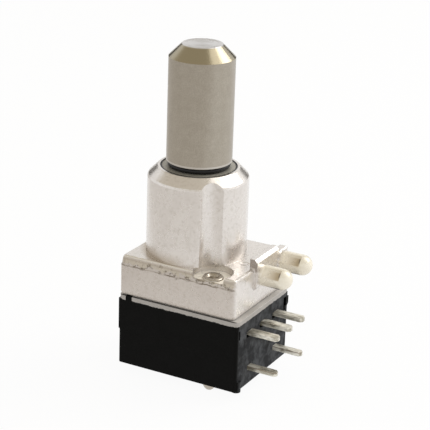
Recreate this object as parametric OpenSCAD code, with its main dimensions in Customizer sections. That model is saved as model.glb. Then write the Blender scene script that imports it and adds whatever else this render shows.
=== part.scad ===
// Miniature rotary potentiometer with an on/off switch, for a right-angle board.
// Origin: on the shaft axis, at the top face of the flange. +Z points out of the shaft,
// +X points the way the locating pegs and the terminals leave the body.

/* [Shaft] */
// Diameter of the part that the knob goes on
shaft_d = 6.0; // [4.6:0.1:6.4]
// Length of that part, its chamfer included
head_len = 10.8; // [6:0.1:16]
// Height and width of the chamfer at its tip
tip_chamfer = 1.16; // [0.3:0.01:1.8]
// Diameter of the part that turns in the barrel
journal_d = 5.0; // [4.6:0.1:5.4]
// Diameter of the neck that the seal ring sits on
neck_d = 4.3; // [3.6:0.1:4.5]
// Diameter of the driving end, before its two flats
drive_d = 3.4; // [2.8:0.1:3.6]
// Distance across those flats
drive_flats = 2.5; // [2:0.1:2.7]
// Diameter of the pilot that runs in the floor of the switch case
pilot_d = 1.8; // [1.2:0.1:2.2]

/* [Barrel] */
// Diameter of the barrel
barrel_d = 9.3; // [9:0.1:10]
// Height of the barrel above the flange
barrel_h = 8.2; // [6:0.1:12]
// Width and height of the polished chamfer at its mouth
barrel_chamfer = 0.8; // [0.3:0.01:0.9]
// Diameter of the recess in its mouth
mouth_d = 6.96; // [6.8:0.02:7.1]
// Radius of the two upright grooves that clear the riveting tool
groove_r = 1.5; // [1.2:0.02:1.6]
// Depth of the narrow flat down the barrel's side
barrel_flat = 0.1; // [0.04:0.01:0.2]

/* [Flange] */
// Reach of the flange from the axis to its blind side
flange_back = 5.15; // [5:0.01:5.6]
// Reach of the flange from the axis to the peg side
flange_front = 6.75; // [6.4:0.01:7]
// Width of the flange along Y
flange_w = 10.1; // [9.8:0.01:10.6]
// Height of the flange
flange_h = 3.82; // [3.6:0.01:4.4]
// Depth of the parting line below the top face
parting_drop = 0.9; // [0.5:0.01:1.2]
// How far the sides other than the peg side lean in above the parting line
draft_in = 0.2; // [0.05:0.01:0.3]
// Radius of the upright corners on the blind side
flange_back_r = 0.35; // [0.2:0.05:1.2]
// Radius of the upright corners on the peg side
flange_front_r = 0.5; // [0.2:0.05:0.8]
// Diameter of the recess round each rivet
recess_d = 3.66; // [3.2:0.02:3.8]
// Depth of that recess
recess_drop = 0.6; // [0.4:0.01:0.7]
// Diameter of the cavity under the flange
cavity_d = 8.14; // [8:0.02:8.4]
// Thickness of metal left over the cavity
cavity_roof = 0.9; // [0.8:0.01:1.1]

/* [Locating pegs] */
// Diameter of a peg
peg_d = 1.94; // [1.5:0.02:2]
// Distance from the shaft axis to the tip of a peg
peg_tip = 10.05; // [9.4:0.01:12]
// Depth of the pegs' axes below the top face
peg_drop = 0.82; // [0.7:0.01:1]
// Place of the front peg along Y
peg_front_y = -0.35; // [-0.8:0.01:-0.2]
// Distance between the two pegs
peg_pitch = 4.1; // [4:0.01:4.3]
// Depth of the flat along each peg
peg_flat = 0.12; // [0.04:0.01:0.2]
// Height of the raised rib beside the pegs
rib_rise = 0.85; // [0.5:0.01:1.1]
// Thickness of that rib
rib_t = 0.75; // [0.5:0.01:0.9]

/* [Seal and retaining pieces] */
// Height of the seal ring between the shaft's head and its washer
seal_h = 0.5; // [0.3:0.01:0.8]
// Outer diameter of the seal ring
seal_d = 5.76; // [5.2:0.02:5.9]
// Thickness of the washer in the barrel's mouth
seal_washer_t = 0.3; // [0.2:0.01:0.4]
// Thickness of the thrust washer
thrust_t = 0.15; // [0.1:0.01:0.2]
// Thickness of the retaining clip
clip_t = 0.28; // [0.2:0.01:0.3]
// Outer diameter of the retaining clip
clip_d = 6.2; // [5:0.1:6.6]

/* [Body] */
// How far the plate and the black body stand out past the flange on the blind side
body_proud_back = 0.05; // [0:0.01:0.2]
// How far they stand out past the flange on the terminal side
body_proud_front = 0.45; // [0.2:0.01:0.8]
// How far they stand out past the flange at the front and at the rear
body_proud_side = 0.03; // [0:0.01:0.1]
// Thickness of the grey spacer plate
plate_t = 0.48; // [0.4:0.01:0.7]
// Height of the terminal block
block_h = 2.96; // [2.9:0.01:3.4]
// Height of the switch case
case_h = 3.4; // [3.3:0.01:4.2]
// How far the terminal block stands out over the switch case on the blind side
block_lip = 0.12; // [0:0.01:0.2]
// Diameter of a rivet's shank
rivet_d = 1.1; // [0.8:0.02:1.2]
// How far a rivet's lower head stands out
rivet_head_h = 0.95; // [0.5:0.01:1.2]
// Radius of a rivet's rolled upper end
rivet_lip_r = 0.97; // [0.8:0.01:1.2]
// Thickness of that rolled end
rivet_lip_h = 0.2; // [0.1:0.01:0.3]
// Radius of the hollow in it, at its mouth
rivet_hollow_r = 0.6; // [0.4:0.01:0.7]

/* [Terminals] */
// Distance between neighbouring terminals
pitch = 2.54; // [2.4:0.01:2.6]
// Distance from the shaft axis to the tips of all terminals
terminal_tip = 10.1; // [9:0.01:13]
// Width of a potentiometer terminal
pot_pin_w = 0.8; // [0.5:0.01:0.9]
// Width of a switch terminal
switch_pin_w = 0.68; // [0.4:0.01:0.75]
// Thickness of all terminals
pin_t = 0.4; // [0.3:0.01:0.45]

/* [Mechanism] */
// Angle that the shaft turns through, in degrees
travel = 280; // [270:1:290]
// Angle at the start of the travel over which the switch stays open
switch_angle = 30; // [20:1:40]
// Diameter of the wiper rotor, without its stop lug
rotor_d = 6.6; // [6.4:0.05:6.7]
// Height of the wiper rotor
rotor_h = 1.8; // [1.5:0.01:1.85]
// Thickness of the resistor wafer
wafer_t = 0.5; // [0.4:0.01:0.55]
// Thickness of the wiper and of the switch contact
blade_t = 0.12; // [0.08:0.01:0.2]
// Height of the printed tracks over the wafer
track_t = 0.02; // [0.02:0.01:0.05]
// Running gap round all that turns
run_gap = 0.03; // [0.02:0.01:0.05]
// Thickness of the click spring
click_t = 0.12; // [0.08:0.01:0.16]

/* [Hidden] */
$fn = 64;
eps = 0.01;

// A cut that goes right through a wall runs on for this length
through = 20;

// Upright corners of the black mouldings and of the plate
body_back_r = 0.3;
body_front_r = 0.25;
plate_back_r = 0.45;
plate_front_r = 0.5;

// The plate and the black body line up with the flange
body_back = flange_back + body_proud_back;
body_front = flange_front + body_proud_front;
body_w = flange_w + 2 * body_proud_side;

// Levels of the stack, from the flange's top face down
stack_gap = 0.04;
z_flange_bottom = -flange_h;
z_plate_top = z_flange_bottom - stack_gap;
z_block_top = z_plate_top - plate_t;
z_case_top = z_block_top - block_h;
z_bottom = z_case_top - case_h;

// Levels at the barrel's mouth
mouth_sink = 0.03;
z_washer_top = barrel_h - mouth_sink;
z_mouth_floor = z_washer_top - seal_washer_t;
z_head = z_washer_top + run_gap + seal_h;
z_tip = z_head + head_len;

// Levels of what turns inside, from the cavity's roof down
z_roof = -cavity_roof;
z_clip_top = z_roof - thrust_t - run_gap;
spring_drop = 0.38;
z_spring_top = z_clip_top - clip_t - spring_drop;
dimple_h = 0.5;
z_rotor_top = z_spring_top - click_t - dimple_h - run_gap;
z_rotor_bottom = z_rotor_top - rotor_h;
wiper_room = 0.54;
z_tracks = z_block_top - wiper_room;
z_wafer_top = z_tracks - track_t;
z_wafer_bottom = z_wafer_top - wafer_t;
z_pin_bottom = z_wafer_bottom - pin_t;
pin_room = 0.2;
z_tongue_top = z_pin_bottom - pin_room;

// Levels of the switch
switch_rotor_h = 1.0;
switch_drop = 4.53;
z_contacts = z_block_top - switch_drop;
z_case_floor = z_contacts - pin_t;
switch_rotor_rise = 0.12;
z_switch_rotor_top = z_case_top + switch_rotor_rise;
z_switch_rotor_bottom = z_switch_rotor_top - switch_rotor_h;
pilot_len = 0.7;
z_pilot_end = z_case_floor - pilot_len;

// Radii and walls worked out from the driving sizes
cavity_r = cavity_d / 2;
spring_seat_w = 0.32;
spring_seat_r = cavity_r - spring_seat_w;
lug_room = 0.12;
lug_r = cavity_r - lug_room;
rotor_r = rotor_d / 2;
stop_room = 0.1;
stop_r = rotor_r + stop_room;
bore_room = 0.15;
block_bore_r = drive_d / 2 + bore_room;
switch_rotor_r = 3.4;
switch_rotor_room = 0.4;
switch_cavity_r = switch_rotor_r + switch_rotor_room;
wafer_r = cavity_r - run_gap;
wafer_tongue_x = 6.0;
wafer_edge = 0.15;
wafer_tongue_w = 2 * (pitch + wafer_edge) + pot_pin_w;
eyelet_edge = 0.8;
eyelet_x = wafer_tongue_x - eyelet_edge;
eyelet_r = 0.28;
pin_root = 0.7;
pot_pin_root = eyelet_x - pin_root;
tongue_t = 1.5;
tongue_edge = 0.65;
tongue_w = 2 * (pitch + tongue_edge) + pot_pin_w;

// The pad under the rib and the pegs stands out of the flange; the pegs are rooted deeper in
pad_out = 0.28;
front_root = 0.4;

// Each rivet stands midway between the cavity's wall and the flange's corner
rivet_hole_r = rivet_d / 2 + run_gap;
rivet_at = (cavity_r / sqrt(2) + flange_w / 2) / 2;

// The clip sits on the floor of a groove in the shaft
clip_seat = 0.2;
groove_floor_r = drive_d / 2 + clip_seat;

// Radii of the printed tracks, which the wiper's fingers run on
track_margin = 0.2;
track_w = 0.6;
track_space = 0.35;
collector_r0 = block_bore_r + track_margin;
collector_r1 = collector_r0 + track_w;
track_r0 = collector_r1 + track_space;
track_r1 = track_r0 + track_w;

// Radii of the switch's contact rings
inner_pad_w = 0.5;
outer_pad_w = 0.6;
pad_space = 0.4;
pad_margin = 0.05;
inner_pad_r0 = block_bore_r + pad_margin;
inner_pad_r1 = inner_pad_r0 + inner_pad_w;
outer_pad_r0 = inner_pad_r1 + pad_space;
outer_pad_r1 = outer_pad_r0 + outer_pad_w;

// Angles, counted anticlockwise from +X as seen from the shaft's tip
end_gap = 1;
lug_angle = 30;
post_angle = 360 - travel - lug_angle - 2 * end_gap;
post_at = 180;
lug_at = post_at - post_angle / 2 - end_gap - lug_angle / 2;
track_gap = 360 - travel;
wiper_at = -track_gap / 2;
inner_pad_at = -42;
contact_gap = track_gap + switch_angle - 5;
contact_at = inner_pad_at - contact_gap / 2 + switch_angle;

// A block with true round upright corners
module slab(x0, x1, w, z0, z1, r0, r1) {
    translate([0, 0, z0]) linear_extrude(z1 - z0) {
        polygon([
            [x0, -w / 2 + r0], [x0 + r0, -w / 2], [x1 - r1, -w / 2], [x1, -w / 2 + r1],
            [x1, w / 2 - r1], [x1 - r1, w / 2], [x0 + r0, w / 2], [x0, w / 2 - r0]
        ]);
        for (side = [-1, 1]) {
            translate([x0 + r0, side * (w / 2 - r0)]) circle(r0);
            translate([x1 - r1, side * (w / 2 - r1)]) circle(r1);
        }
    }
}

// A ring sector about the Z axis, from angle a0 on through the angle sweep
module sector(r0, r1, z0, z1, a0, sweep) {
    translate([0, 0, z0]) rotate([0, 0, a0])
        rotate_extrude(angle = sweep) translate([r0, 0]) square([r1 - r0, z1 - z0]);
}

// A flat ring or washer
module ring(r0, r1, z0, z1) {
    difference() {
        translate([0, 0, z0]) cylinder(r = r1, h = z1 - z0);
        translate([0, 0, z0 - eps]) cylinder(r = r0, h = z1 - z0 + 2 * eps);
    }
}

// Puts something at both rivets, which stand on one diagonal through the axis
module at_rivets() {
    for (side = [-1, 1]) translate([side * rivet_at, -side * rivet_at, 0]) children();
}

// A round bar with two flats, for the driven end of the shaft and the holes that it drives
module double_d(d, flats, z0, z1) {
    translate([0, 0, z0]) intersection() {
        cylinder(d = d, h = z1 - z0);
        translate([-d, -flats / 2, -eps]) cube([2 * d, flats, z1 - z0 + 2 * eps]);
    }
}

// The shaft: knob end, neck for the seal, journal, clip groove, driving end and pilot
module shaft() {
    lip = 0.15;
    lip_r = journal_d / 2 - 0.1;
    broken_edge = 0.05;
    z_groove = z_clip_top + run_gap / 2;
    z_groove_end = z_groove - clip_t - run_gap;
    z_lip_end = z_groove_end - lip;
    z_neck = z_mouth_floor - 0.08;
    color("#9a9488") {
        rotate_extrude($fn = 96) polygon([
            [0, z_lip_end],
            [lip_r, z_lip_end],
            [lip_r, z_groove_end],
            [groove_floor_r, z_groove_end],
            [groove_floor_r, z_groove],
            [journal_d / 2, z_groove],
            [journal_d / 2, z_neck],
            [neck_d / 2, z_neck],
            [neck_d / 2, z_head],
            [shaft_d / 2 - broken_edge, z_head],
            [shaft_d / 2, z_head + broken_edge],
            [shaft_d / 2, z_tip - tip_chamfer],
            [shaft_d / 2 - tip_chamfer, z_tip],
            [0, z_tip]
        ]);
        double_d(drive_d, drive_flats, z_switch_rotor_bottom - lip, z_lip_end + eps);
        translate([0, 0, z_pilot_end])
            cylinder(d = pilot_d, h = z_switch_rotor_bottom - z_pilot_end);
    }
}

// Rubber ring squeezed between the shaft's head and the washer in the mouth
module seal_ring() {
    bulge = seal_h / 2;
    color("#151515") rotate_extrude($fn = 96) {
        translate([neck_d / 2, z_head - seal_h]) square([seal_d / 2 - bulge - neck_d / 2, seal_h]);
        intersection() {
            translate([seal_d / 2 - bulge, z_head - bulge]) circle(bulge, $fn = 32);
            translate([neck_d / 2, z_head - seal_h]) square([seal_d, seal_h]);
        }
    }
}

// Turned steel washer that lies in the barrel's mouth under the seal ring
module seal_washer() {
    color("#8f8f8c")
        ring(neck_d / 2 + bore_room, mouth_d / 2 - run_gap, z_mouth_floor, z_washer_top);
}

// Thin washer between the roof of the cavity and the clip
module thrust_washer() {
    edge_room = 0.2;
    color("#b0aca4")
        ring(journal_d / 2 + run_gap, spring_seat_r - edge_room, z_roof - thrust_t, z_roof);
}

// Retaining clip: an open ring pushed sideways into the shaft's groove
module shaft_clip() {
    grip = 0.25;
    mouth_w = 2 * (groove_floor_r - grip);
    relief_r = 0.35;
    z_clip = z_clip_top - clip_t;
    color("#a8a49c") difference() {
        ring(groove_floor_r, clip_d / 2, z_clip, z_clip_top);
        translate([-mouth_w / 2, 0, z_clip - eps]) cube([mouth_w, clip_d, clip_t + 2 * eps]);
        for (side = [-1, 1])
            translate([side * groove_floor_r, -drive_d / 3, z_clip - eps])
                cylinder(r = relief_r, h = clip_t + 2 * eps, $fn = 32);
    }
}

// Click spring: a flat ring under the housing's step, with two pressed dimples over the rotor
module click_spring() {
    inner_r = rotor_r - 0.75;
    dimple_at = rotor_r - 0.4;
    rim_w = 0.35;
    dimple_r0 = 0.16;
    dimple_r1 = 0.4;
    z_spring = z_spring_top - click_t;
    color("#c2b8a0") {
        difference() {
            ring(inner_r, cavity_r - run_gap, z_spring, z_spring_top);
            for (turn = [0, 180])
                sector(inner_r + rim_w, cavity_r - rim_w, z_spring - eps, z_spring_top + eps,
                       turn + 30, 100);
        }
        for (turn = [0, 180])
            rotate([0, 0, turn]) translate([dimple_at, 0, z_spring - dimple_h])
                cylinder(r1 = dimple_r0, r2 = dimple_r1, h = dimple_h + click_t / 2, $fn = 32);
    }
}

// Moulded rotor: keyed on the shaft's flats, with a stop lug and two click notches
module wiper_rotor() {
    notch_w = 0.9;
    notch_h = 0.25;
    notch_len = 0.8;
    lug_root = 0.3;
    lug_lift = 0.5;
    lug_drop = 0.2;
    dent_r = 0.25;
    dent_at = rotor_r - 0.75;
    dent_h = 0.5;
    color("#e2ddcf") difference() {
        union() {
            translate([0, 0, z_rotor_bottom]) cylinder(r = rotor_r, h = rotor_h);
            sector(rotor_r - lug_root, lug_r, z_rotor_bottom + lug_lift, z_rotor_top - lug_drop,
                   lug_at - lug_angle / 2, lug_angle);
        }
        double_d(drive_d + 2 * run_gap, drive_flats + 2 * run_gap,
                 z_rotor_bottom - eps, z_rotor_top + eps);
        for (turn = [0, 180])
            rotate([0, 0, turn])
                translate([rotor_r - notch_len, -notch_w / 2, z_rotor_top - notch_h])
                    cube([through, notch_w, through]);
        // Dents underneath that the wiper's ring is staked into
        for (turn = [60, 180, 300])
            rotate([0, 0, turn]) translate([dent_at, 0, z_rotor_bottom - eps])
                cylinder(r = dent_r, h = dent_h, $fn = 32);
    }
}

// A bridging spring blade: a ring with one finger on an inner and one on an outer track
module blade(ring_r0, ring_r1, inner_r, outer_r, z_top, z_touch, turn) {
    finger_w = 0.5;
    finger_root = ring_r1 - blade_t;
    z_blade = z_top - blade_t;
    ring(ring_r0, ring_r1, z_blade, z_top);
    rotate([0, 0, turn]) {
        // Finger on the outer track
        translate([finger_root, -finger_w / 2, z_blade])
            cube([outer_r + finger_w / 2 - finger_root, finger_w, blade_t]);
        translate([outer_r, 0, 0]) contact_tip(z_touch, z_blade);
    }
    // Finger on the inner track, on the far side
    rotate([0, 0, turn + 180]) translate([inner_r, 0, 0]) contact_tip(z_touch, z_blade);
}

// Pressed tip under a blade's finger, which runs just clear of its track
module contact_tip(z_touch, z_blade) {
    tip_r0 = 0.1;
    tip_r1 = 0.22;
    translate([0, 0, z_touch + run_gap])
        cylinder(r1 = tip_r0, r2 = tip_r1, h = z_blade + blade_t / 2 - z_touch - run_gap, $fn = 32);
}

// Wiper: the spring blade under the rotor
module wiper() {
    color("#c9a860")
        blade(block_bore_r, collector_r1, (collector_r0 + collector_r1) / 2,
              (track_r0 + track_r1) / 2, z_rotor_bottom, z_tracks, wiper_at);
}

// Outline of the resistor wafer: a disc with a tongue toward the terminals
module wafer_outline(grow) {
    circle(wafer_r + grow);
    translate([0, -wafer_tongue_w / 2 - grow])
        square([wafer_tongue_x + grow, wafer_tongue_w + 2 * grow]);
}

// Resistor wafer with its printed track, collector ring and terminal pads
module resistor_wafer() {
    print_len = 1.0;
    color("#7a4a28") difference() {
        union() {
            translate([0, 0, z_wafer_bottom]) linear_extrude(wafer_t) wafer_outline(0);
            ring(collector_r0, collector_r1, z_wafer_top - eps, z_tracks);
            sector(track_r0, track_r1, z_wafer_top - eps, z_tracks, track_gap / 2, travel);
            // Prints that lead from the tracks to the terminals
            translate([collector_r1 - eps, -track_w / 2, z_wafer_top - eps])
                cube([eyelet_x - collector_r1, track_w, track_t + eps]);
            for (side = [-1, 1]) rotate([0, 0, side * track_gap / 2])
                translate([track_r0, -track_w / 2, z_wafer_top - eps])
                    cube([print_len, track_w, track_t + eps]);
        }
        translate([0, 0, z_wafer_bottom - eps]) cylinder(r = block_bore_r, h = through);
        for (k = [-1, 0, 1]) translate([eyelet_x, k * pitch, z_wafer_bottom - eps])
            cylinder(r = eyelet_r + run_gap, h = through, $fn = 32);
        at_rivets() translate([0, 0, z_bottom]) cylinder(r = rivet_hole_r, h = through);
    }
}

// The bevelled end that every terminal has
module pin_tip_cut(w) {
    bevel = 0.22;
    for (side = [-1, 1]) translate([terminal_tip, side * w / 2, 0])
        rotate([0, 0, 45]) cube([bevel * sqrt(2), bevel * sqrt(2), 4 * pin_t], center = true);
}

// Potentiometer terminal: a tinned strip with an eyelet clinched through the wafer
module pot_terminal(k) {
    rolled_r = 0.42;
    rolled_h = 0.08;
    color("#c8c2b4") translate([0, k * pitch, 0]) {
        difference() {
            translate([pot_pin_root, -pot_pin_w / 2, z_pin_bottom])
                cube([terminal_tip - pot_pin_root, pot_pin_w, pin_t]);
            translate([0, 0, z_pin_bottom + pin_t / 2]) pin_tip_cut(pot_pin_w);
        }
        translate([eyelet_x, 0, z_wafer_bottom - eps])
            cylinder(r = eyelet_r, h = z_tracks + rolled_h - z_wafer_bottom, $fn = 32);
        translate([eyelet_x, 0, z_tracks]) cylinder(r = rolled_r, h = rolled_h, $fn = 32);
    }
}

module terminal_1() pot_terminal(-1);
module terminal_2() pot_terminal(0);
module terminal_3() pot_terminal(1);

// Upper black moulding: it holds the wafer and the three potentiometer terminals
module terminal_block() {
    slot_side = 0.28;
    disc_room = 0.2;
    color("#1c1c1e") difference() {
        union() {
            slab(-body_back - block_lip, body_front, body_w, z_case_top, z_block_top,
                 body_back_r, body_front_r);
            locating_tab(0);
            block_catch();
        }
        // Pocket for the wafer, with room for the wiper over it
        translate([0, 0, z_wafer_bottom]) linear_extrude(through) wafer_outline(run_gap);
        translate([0, 0, z_case_top - eps]) cylinder(r = block_bore_r, h = through);
        translate([0, 0, z_case_top - eps])
            cylinder(r = switch_rotor_r + disc_room, h = switch_rotor_rise + disc_room);
        // Slots that the terminals lie in
        for (k = [-1, 0, 1])
            translate([pot_pin_root - run_gap, k * pitch - pot_pin_w / 2 - slot_side, z_tongue_top])
                cube([through, pot_pin_w + slot_side + run_gap, pin_t + pin_room + eps]);
        // Room for the switch case's tongue
        translate([body_front - tongue_t - run_gap, -tongue_w / 2 - run_gap, z_case_top - eps])
            cube([through, tongue_w + 2 * run_gap, z_tongue_top - z_case_top + run_gap]);
        block_reliefs();
        at_rivets() translate([0, 0, z_bottom]) cylinder(r = rivet_hole_r, h = through);
    }
}

// Catch on the block's rear side, next to the terminal face
module block_catch() {
    catch_in = 0.9;
    catch_w = 0.8;
    catch_out = 0.28;
    catch_low = 1.5;
    catch_h = 0.95;
    lead_in = 0.25;
    root = 0.2;
    translate([body_front - catch_in, body_w / 2, z_block_top - catch_low]) rotate([0, 90, 0])
        linear_extrude(catch_w) polygon([
            [-catch_h, -root],
            [-catch_h, catch_out],
            [-lead_in, catch_out],
            [0, 0],
            [0, -root]
        ]);
}

// Relief slots at both ends of the block's terminal face
module block_reliefs() {
    translate([body_front - 0.25, -body_w / 2 + 0.35, z_block_top - 1.35])
        cube([through, 0.25, 0.9]);
    translate([body_front - 0.5, body_w / 2 - 0.95, z_block_top - 1.3])
        cube([through, 0.6, 0.95]);
    translate([body_front - 0.3, body_w / 2 - 0.9, z_block_top - 1.65])
        cube([through, 0.3, 0.4]);
}

// The tab on the block that the plate's notch fits round
module locating_tab(grow) {
    tab_w = 0.6;
    tab_d = 0.45;
    tab_at = 0.76;
    translate([-body_back + tab_at - grow, -body_w / 2, z_block_top - eps])
        cube([tab_w + 2 * grow, tab_d + grow, plate_t + eps + grow]);
}

// Grey spacer plate between the casting and the black moulding
module spacer_plate() {
    color("#a9a8a5") difference() {
        slab(-body_back, body_front, body_w, z_block_top, z_plate_top,
             plate_back_r, plate_front_r);
        translate([0, 0, z_block_top - eps]) cylinder(r = cavity_r, h = through);
        translate([0, -eps, 0]) locating_tab(run_gap);
        at_rivets() translate([0, 0, z_bottom]) cylinder(r = rivet_hole_r, h = through);
    }
}

// Lower black moulding: floor, switch chamber and the tongue under the terminals
module switch_case() {
    catch_r = 0.42;
    catch_h = 1.0;
    catch_drop = 0.1;
    pilot_room = 0.1;
    color("#1a1a1c") difference() {
        union() {
            slab(-body_back, body_front, body_w, z_bottom, z_case_top, body_back_r, body_front_r);
            translate([body_front - tongue_t, -tongue_w / 2, z_case_top - eps])
                cube([tongue_t, tongue_w, z_tongue_top - z_case_top + eps]);
            // Rounded catch at the lower front corner
            translate([body_front - 0.2, -body_w / 2 + 0.55, z_bottom - catch_drop])
                cylinder(r = catch_r, h = catch_h, $fn = 32);
        }
        translate([0, 0, z_case_floor]) cylinder(r = switch_cavity_r, h = through);
        translate([0, 0, z_pilot_end - pilot_room]) cylinder(d = pilot_d + 2 * run_gap, h = through);
        switch_slot(-1);
        switch_slot(1);
        at_rivets() translate([0, 0, z_bottom - through / 2])
            cylinder(r = rivet_hole_r, h = 2 * through);
    }
}

// Slot in the case's wall that a switch terminal is moulded into
module switch_slot(side) {
    translate([switch_rotor_r - pitch / 2, side * pitch - switch_pin_w / 2, z_case_floor])
        cube([through, switch_pin_w, pin_t]);
}

// Strip of a switch terminal, from its contact out through the wall
module switch_strip(x_in) {
    difference() {
        translate([x_in, -switch_pin_w / 2, z_case_floor])
            cube([terminal_tip - x_in, switch_pin_w, pin_t]);
        translate([0, 0, z_case_floor + pin_t / 2]) pin_tip_cut(switch_pin_w);
    }
}

// Switch terminal that ends in the full inner contact ring
module switch_terminal_1() {
    arm_w = 0.5;
    arm_len = pitch / sin(-inner_pad_at) - inner_pad_r1 + arm_w / 3;
    color("#c8c2b4") {
        translate([0, -pitch, 0]) switch_strip(pitch / tan(-inner_pad_at) - arm_w / 2);
        ring(inner_pad_r0, inner_pad_r1, z_case_floor, z_contacts);
        rotate([0, 0, inner_pad_at]) translate([inner_pad_r1 - eps, -arm_w / 2, z_case_floor])
            cube([arm_len, arm_w, pin_t]);
    }
}

// Switch terminal that ends in the outer contact arc, which leaves the off position bare
module switch_terminal_2() {
    color("#c8c2b4") {
        translate([0, pitch, 0]) switch_strip(outer_pad_r0 / 2);
        sector(outer_pad_r0, outer_pad_r1, z_case_floor, z_contacts,
               inner_pad_at + contact_gap / 2, 360 - contact_gap);
    }
}

// Moulded disc on the shaft's driving end that carries the switch contact
module switch_rotor() {
    color("#d8d2c2") difference() {
        translate([0, 0, z_switch_rotor_bottom]) cylinder(r = switch_rotor_r, h = switch_rotor_h);
        double_d(drive_d + 2 * run_gap, drive_flats + 2 * run_gap,
                 z_switch_rotor_bottom - eps, z_switch_rotor_top + eps);
    }
}

// Switch contact: the spring blade that bridges the two contact rings
module switch_contact() {
    color("#c9a860")
        blade(drive_d / 2 + pad_margin, inner_pad_r1, (inner_pad_r0 + inner_pad_r1) / 2,
              (outer_pad_r0 + outer_pad_r1) / 2, z_switch_rotor_bottom, z_contacts, contact_at);
}

// Die-cast housing: flange, barrel, locating pegs and their rib in one piece
module housing() {
    color("#d2ccc4") difference() {
        union() {
            flange();
            barrel();
            peg_rib();
            for (y = [peg_front_y, peg_front_y + peg_pitch]) peg(y);
        }
        // Bore for the journal, and the recess in the mouth
        translate([0, 0, -through]) cylinder(r = journal_d / 2 + run_gap, h = 2 * through);
        translate([0, 0, z_mouth_floor]) cylinder(d = mouth_d, h = through);
        // Cavity with a step for the click spring, and the post that stops the rotor's lug
        translate([0, 0, z_roof - through]) cylinder(r = spring_seat_r, h = through);
        difference() {
            translate([0, 0, z_spring_top - through]) cylinder(r = cavity_r, h = through);
            sector(stop_r, cavity_r + 1, -2 * through, z_spring_top - click_t - run_gap,
                   post_at - post_angle / 2, post_angle);
        }
        ejector_mark();
        at_rivets() {
            translate([0, 0, -through]) cylinder(r = rivet_hole_r, h = 2 * through);
            translate([0, 0, -recess_drop]) cylinder(d = recess_d, h = recess_drop + eps);
            translate([0, 0, -recess_drop]) cylinder(r = groove_r, h = through);
        }
    }
}

// Flange: upright sides below the parting line, sides that lean in above it
module flange() {
    foot_round = 0.25;
    top_round = 0.1;
    front_round = 0.27;
    line_in = 0.05;
    slab(-flange_back, flange_front, flange_w, z_flange_bottom + foot_round, -parting_drop,
         flange_back_r, flange_front_r);
    hull() {
        flange_slice(0, 0, z_flange_bottom + foot_round + eps);
        flange_slice(foot_round / 3, foot_round / 3, z_flange_bottom + foot_round / 4);
        flange_slice(foot_round, foot_round, z_flange_bottom + eps);
    }
    hull() {
        flange_slice(line_in, 0, -parting_drop + eps);
        flange_slice(draft_in * 2 / 3, 0, -front_round);
        flange_slice(draft_in, front_round / 3, -top_round);
        flange_slice(draft_in + top_round, front_round, 0);
    }
}

// A thin level slice of the flange, drawn in at the peg side by front_in and elsewhere by in
module flange_slice(in, front_in, z) {
    slab(-flange_back + in, flange_front - front_in, flange_w - 2 * in, z - eps, z,
         flange_back_r - in / 2, flange_front_r - in / 2, $fn = 32);
}

// Barrel: straight wall with one narrow flat, eased edge, polished chamfer and a narrow rim
module barrel() {
    barrel_r = barrel_d / 2;
    ease = 0.1;
    rim_ease = 0.06;
    flat_turn = 22;
    z_chamfer = barrel_h - barrel_chamfer;
    chamfer_end_r = barrel_r - ease - barrel_chamfer;
    difference() {
        rotate_extrude($fn = 96) polygon([
            [0, -flange_h / 2],
            [barrel_r, -flange_h / 2],
            [barrel_r, z_chamfer - 2 * ease],
            [barrel_r - ease, z_chamfer],
            [chamfer_end_r + rim_ease, barrel_h - rim_ease],
            [chamfer_end_r - rim_ease / 3, barrel_h],
            [0, barrel_h]
        ]);
        rotate([0, 0, flat_turn]) translate([barrel_r - barrel_flat, -barrel_r, 0])
            cube([barrel_r, barrel_d, through]);
    }
}

// Raised rib with a bevelled outer edge, on the pad that the pegs stand on
module peg_rib() {
    bevel = 0.3;
    root = 0.5;
    pad_edge = 0.02;
    step_rise = 0.27;
    rib_y0 = peg_front_y - peg_d / 2 - pad_edge;
    rib_y1 = peg_front_y + peg_pitch - peg_d / 2 + 0.2;
    pad_y1 = peg_front_y + peg_pitch + peg_d / 2 + pad_edge;
    rib_out = flange_front + pad_out;
    rib_in = rib_out - rib_t;
    pad_drop = peg_drop + peg_d / 2 + pad_edge;
    translate([0, rib_y1, 0]) rotate([90, 0, 0]) linear_extrude(rib_y1 - rib_y0) polygon([
        [rib_in, -root],
        [rib_in, rib_rise],
        [rib_out - bevel, rib_rise],
        [rib_out, rib_rise - bevel],
        [rib_out, -root]
    ]);
    // The pad itself, whose lower edge runs out into the flange
    translate([0, pad_y1, 0]) rotate([90, 0, 0]) linear_extrude(pad_y1 - rib_y0) polygon([
        [rib_in, -root],
        [rib_out, -root],
        [rib_out, -pad_drop],
        [flange_front - eps, -pad_drop - pad_out],
        [rib_in, -pad_drop - pad_out]
    ]);
    // Low step beyond the rib, over the rear peg's root
    translate([0, pad_y1, 0]) rotate([90, 0, 0]) linear_extrude(pad_y1 - rib_y1 + eps) polygon([
        [rib_in, -root],
        [rib_in, step_rise],
        [rib_out - step_rise / 2, step_rise],
        [rib_out, step_rise / 2],
        [rib_out, -root]
    ]);
}

// Locating peg: a round pin with a domed nose, and a flat on its upper front side
module peg(y) {
    r = peg_d / 2;
    root_x = flange_front - front_root;
    nose_x = peg_tip - r;
    flat_turn = 48;
    flat_from = flange_front + pad_out + 0.4;
    flat_to = nose_x + 0.1;
    translate([0, y, -peg_drop]) rotate([0, 90, 0]) difference() {
        union() {
            translate([0, 0, root_x]) cylinder(r = r, h = nose_x - root_x, $fn = 48);
            translate([0, 0, nose_x]) sphere(r = r, $fn = 48);
        }
        rotate([0, 0, flat_turn]) translate([-r - through, -r, flat_from])
            cube([through + peg_flat, peg_d, flat_to - flat_from]);
    }
}

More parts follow.
